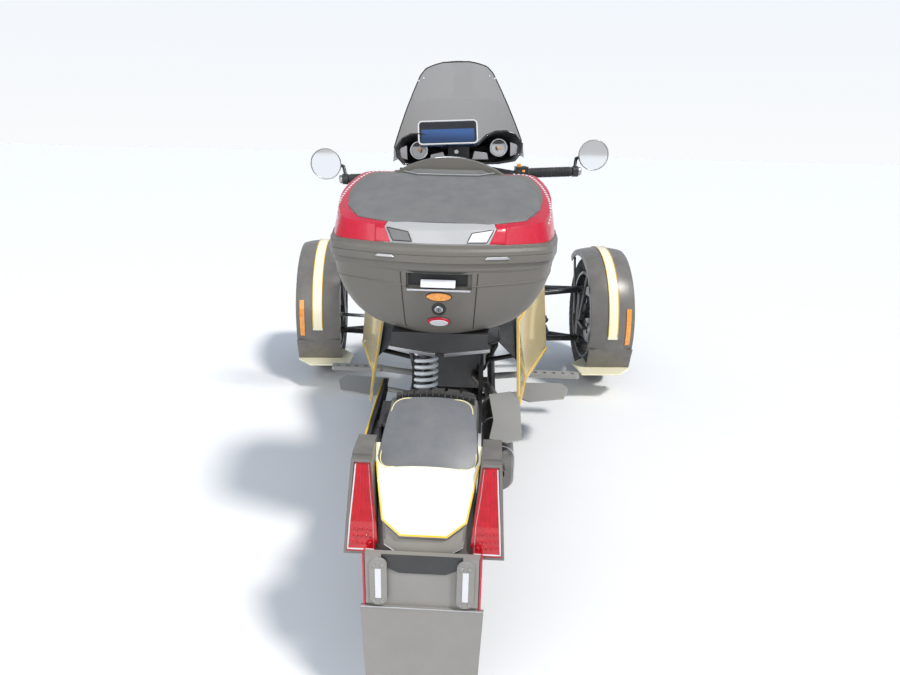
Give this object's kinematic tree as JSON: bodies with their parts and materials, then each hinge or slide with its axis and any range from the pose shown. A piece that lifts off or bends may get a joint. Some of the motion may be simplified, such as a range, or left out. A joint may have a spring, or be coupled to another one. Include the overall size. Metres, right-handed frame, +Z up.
{
  "type": "three-wheeled motorcycle",
  "caption": "Low three-wheeled motorcycle with steered front wheels on open arms, a single driven rear wheel, smoked screen and a lidded top case.",
  "frame": {"origin": "on the floor, in the middle of the overall box", "axes": "+X is the vehicle's right, +Y is forward, +Z is up"},
  "size_m": [1.5535, 2.3561, 1.4018],
  "materials": {
    "frame_black": "satin black powder coat",
    "engine_grey": "cast metal, dull",
    "alloy_black": "satin black cast alloy",
    "arm_black": "satin black tube",
    "steel": "machined steel",
    "tyre": "black rubber",
    "grip_rubber": "ribbed rubber",
    "body_black": "matt dark grey moulded plastic",
    "fender_grey": "matt grey moulded plastic",
    "yellow": "gloss yellow panel",
    "lamp_red": "clear red lens",
    "reflector_orange": "orange reflector",
    "case_grey": "grained dark grey plastic",
    "strip_silver": "satin silver strip",
    "seat_black": "black seat cover",
    "smoke": "smoked clear screen",
    "mirror": "mirror glass",
    "display_glass": "dark blue display",
    "shield_grey": "matt pale grey shield",
    "exhaust_steel": "heat-dulled steel",
    "lens_clear": "clear lamp lens",
    "spring_white": "pale grey coil spring",
    "spring_black": "black coil spring"
  },
  "bodies": {
    "chassis": {"carrier_trims": "shield_grey", "case_carrier": "body_black", "case_tub": "case_grey", "console": "body_black", "engine": "engine_grey", "exhaust": "exhaust_steel", "fender_pad": "seat_black", "fender_panel": "yellow", "final_drive": "engine_grey", "footrests": "shield_grey", "frame": "frame_black", "front_shocks": "spring_black", "grille": "body_black", "headlamps": "lens_clear", "heat_shield": "shield_grey", "hood": "body_black", "lower_arms": "arm_black", "mud_flap": "body_black", "plate_panel": "body_black", "rack_housing": "alloy_black", "rear_fender": "body_black", "rear_shock": "spring_white", "seat": "seat_black", "side_covers": "body_black", "side_panels": "yellow", "swingarm": "alloy_black", "swingarm_cover": "yellow", "tail_cover": "body_black", "tail_lamps": "lamp_red", "upper_arms": "arm_black"},
    "steering": {"steering_stem": "frame_black", "handlebar": "frame_black", "grips": "grip_rubber", "mirrors": "frame_black", "mirror_glass": "mirror", "cowl": "body_black", "display": "display_glass", "windshield": "smoke"},
    "case_lid_body": {"case_lid": "case_grey", "lid_reflectors": "lamp_red", "lid_strip": "strip_silver"},
    "tie_rod_body": {"tie_rods": "steel"},
    "rear_wheel_body": {"rear_tyre": "tyre", "rear_wheel": "alloy_black"},
    "knuckle_body_right": {"knuckle_right": "steel", "front_fender_right": "fender_grey", "fender_trim_right": "yellow", "fender_reflector_right": "reflector_orange"},
    "front_wheel_body_right": {"front_tyre_right": "tyre", "front_wheel_right": "alloy_black"},
    "knuckle_body_left": {"knuckle_left": "steel", "front_fender_left": "fender_grey", "fender_trim_left": "yellow", "fender_reflector_left": "reflector_orange"},
    "front_wheel_body_left": {"front_tyre_left": "tyre", "front_wheel_left": "alloy_black"}
  },
  "joints": [
    {"name": "steering", "type": "hinge", "parent": "chassis", "child": "steering", "pos_m": [0, 0.35, 1.007], "axis": [0, -0.5, 0.866], "range_deg": [-33.5, 22.5]},
    {"name": "rear_wheel_spin", "type": "hinge", "parent": "chassis", "child": "rear_wheel_body", "pos_m": [0, -0.824, 0.3032], "axis": [1, 0, 0], "continuous": true},
    {"name": "lid_hinge", "type": "hinge", "parent": "chassis", "child": "case_lid_body", "pos_m": [0, -0.3425, 0.941], "axis": [-1, 0, 0], "range_deg": [0, 70]},
    {"name": "rack_slide", "type": "slide", "parent": "chassis", "child": "tie_rod_body", "axis": [1, 0, 0], "range_m": [-0.0619, 0.0419]},
    {"name": "kingpin_right", "type": "hinge", "parent": "chassis", "child": "knuckle_body_right", "pos_m": [0.585, 0.885, 0.2902], "axis": [0, 0, 1], "range_deg": [-31.66, 21.43]},
    {"name": "front_wheel_spin_right", "type": "hinge", "parent": "knuckle_body_right", "child": "front_wheel_body_right", "pos_m": [0.65671, 0.89142, 0.2902], "axis": [0.996, 0.0892, 0], "continuous": true},
    {"name": "kingpin_left", "type": "hinge", "parent": "chassis", "child": "knuckle_body_left", "pos_m": [-0.585, 0.885, 0.2902], "axis": [0, 0, 1], "range_deg": [-31.66, 21.43]},
    {"name": "front_wheel_spin_left", "type": "hinge", "parent": "knuckle_body_left", "child": "front_wheel_body_left", "pos_m": [-0.65671, 0.87858, 0.2902], "axis": [0.996, 0.0892, 0], "continuous": true}
  ],
  "couplings": [
    {"joint": "rack_slide", "follows": "steering", "m_per_rad": 0.10416},
    {"joint": "kingpin_right", "follows": "steering", "ratio": 0.93},
    {"joint": "kingpin_left", "follows": "steering", "ratio": 0.93}
  ]
}
